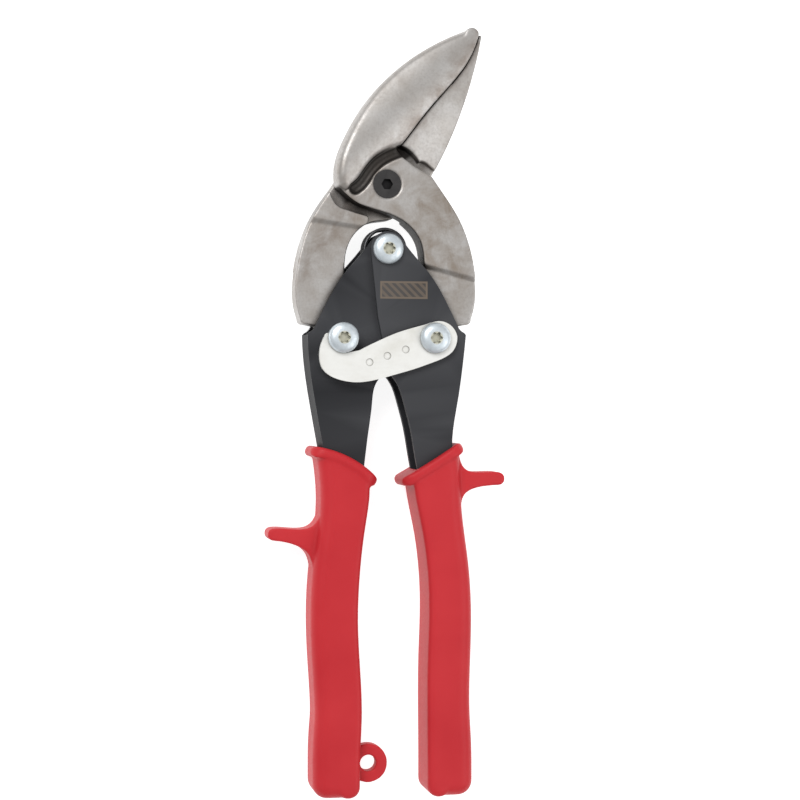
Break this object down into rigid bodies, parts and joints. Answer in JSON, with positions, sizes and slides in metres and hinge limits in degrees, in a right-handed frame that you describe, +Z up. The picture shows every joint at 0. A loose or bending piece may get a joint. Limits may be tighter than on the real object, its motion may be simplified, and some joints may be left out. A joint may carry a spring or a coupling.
{
  "type": "aviation snips",
  "caption": "Left-cut offset compound-leverage aviation snips with latched steel channel handles and red vinyl grips, lying flat with the jaws shut.",
  "frame": {"origin": "centre of the footprint on the surface that the snips lie on", "axes": "+Y from the grips' heels to the jaw tip, +Z up along every pivot, +X to the side that the jaws are offset to"},
  "size_m": [0.0752, 0.2412, 0.0233],
  "materials": {
    "blade_steel": "drop forged, satin, light mottling",
    "handle_steel": "black e-coat, satin",
    "grip_vinyl": "smooth moulded vinyl",
    "zinc_hardware": "bright zinc plate",
    "latch_plate": "zinc plated sheet",
    "dark_screw": "black oxide",
    "spring_steel": "oiled spring wire"
  },
  "bodies": {
    "handle_right": {"handle_right": "handle_steel", "grip_right": "grip_vinyl", "handle_pivot_bolt": "zinc_hardware", "handle_pivot_sleeve": "zinc_hardware", "handle_pivot_nut": "zinc_hardware", "return_spring": "spring_steel", "right_link_bolt": "zinc_hardware", "right_link_bush": "zinc_hardware", "right_link_nut": "zinc_hardware", "latch_washer": "zinc_hardware"},
    "handle_left": {"handle_left": "handle_steel", "grip_left": "grip_vinyl", "left_link_bolt": "zinc_hardware", "left_link_bush": "zinc_hardware", "left_link_spacer": "zinc_hardware", "left_link_nut": "zinc_hardware"},
    "blade_front": {"blade_front": "blade_steel"},
    "blade_rear": {"blade_rear": "blade_steel", "jaw_pivot_screw": "dark_screw", "jaw_pivot_washer": "zinc_hardware", "jaw_pivot_nut": "zinc_hardware"},
    "latch": {"latch": "latch_plate"}
  },
  "joints": [
    {"name": "handle_pivot", "type": "hinge", "parent": "handle_right", "child": "handle_left", "pos_m": [0, 0.0513, 0.0105], "axis": [0, 0, -1], "range_deg": [0, 34], "deforming": ["return_spring"]},
    {"name": "right_link", "type": "hinge", "parent": "handle_right", "child": "blade_front", "pos_m": [0.0145, 0.0235, 0.0105], "axis": [0, 0, -1], "range_deg": [0, 8]},
    {"name": "jaw_pivot", "type": "hinge", "parent": "blade_front", "child": "blade_rear", "pos_m": [0, 0.0716, 0.0105], "axis": [0, 0, -1], "range_deg": [0, 19]},
    {"name": "latch_pivot", "type": "hinge", "parent": "handle_right", "child": "latch", "pos_m": [0.0145, 0.0235, 0.0196], "axis": [0, 0, 1], "range_deg": [0, 62]}
  ],
  "couplings": [
    {"joint": "right_link", "follows": "handle_pivot", "ratio": 0.226},
    {"joint": "jaw_pivot", "follows": "handle_pivot", "ratio": 0.547},
    {"joint": "latch_pivot", "follows": "handle_pivot", "ratio": 1.8}
  ]
}
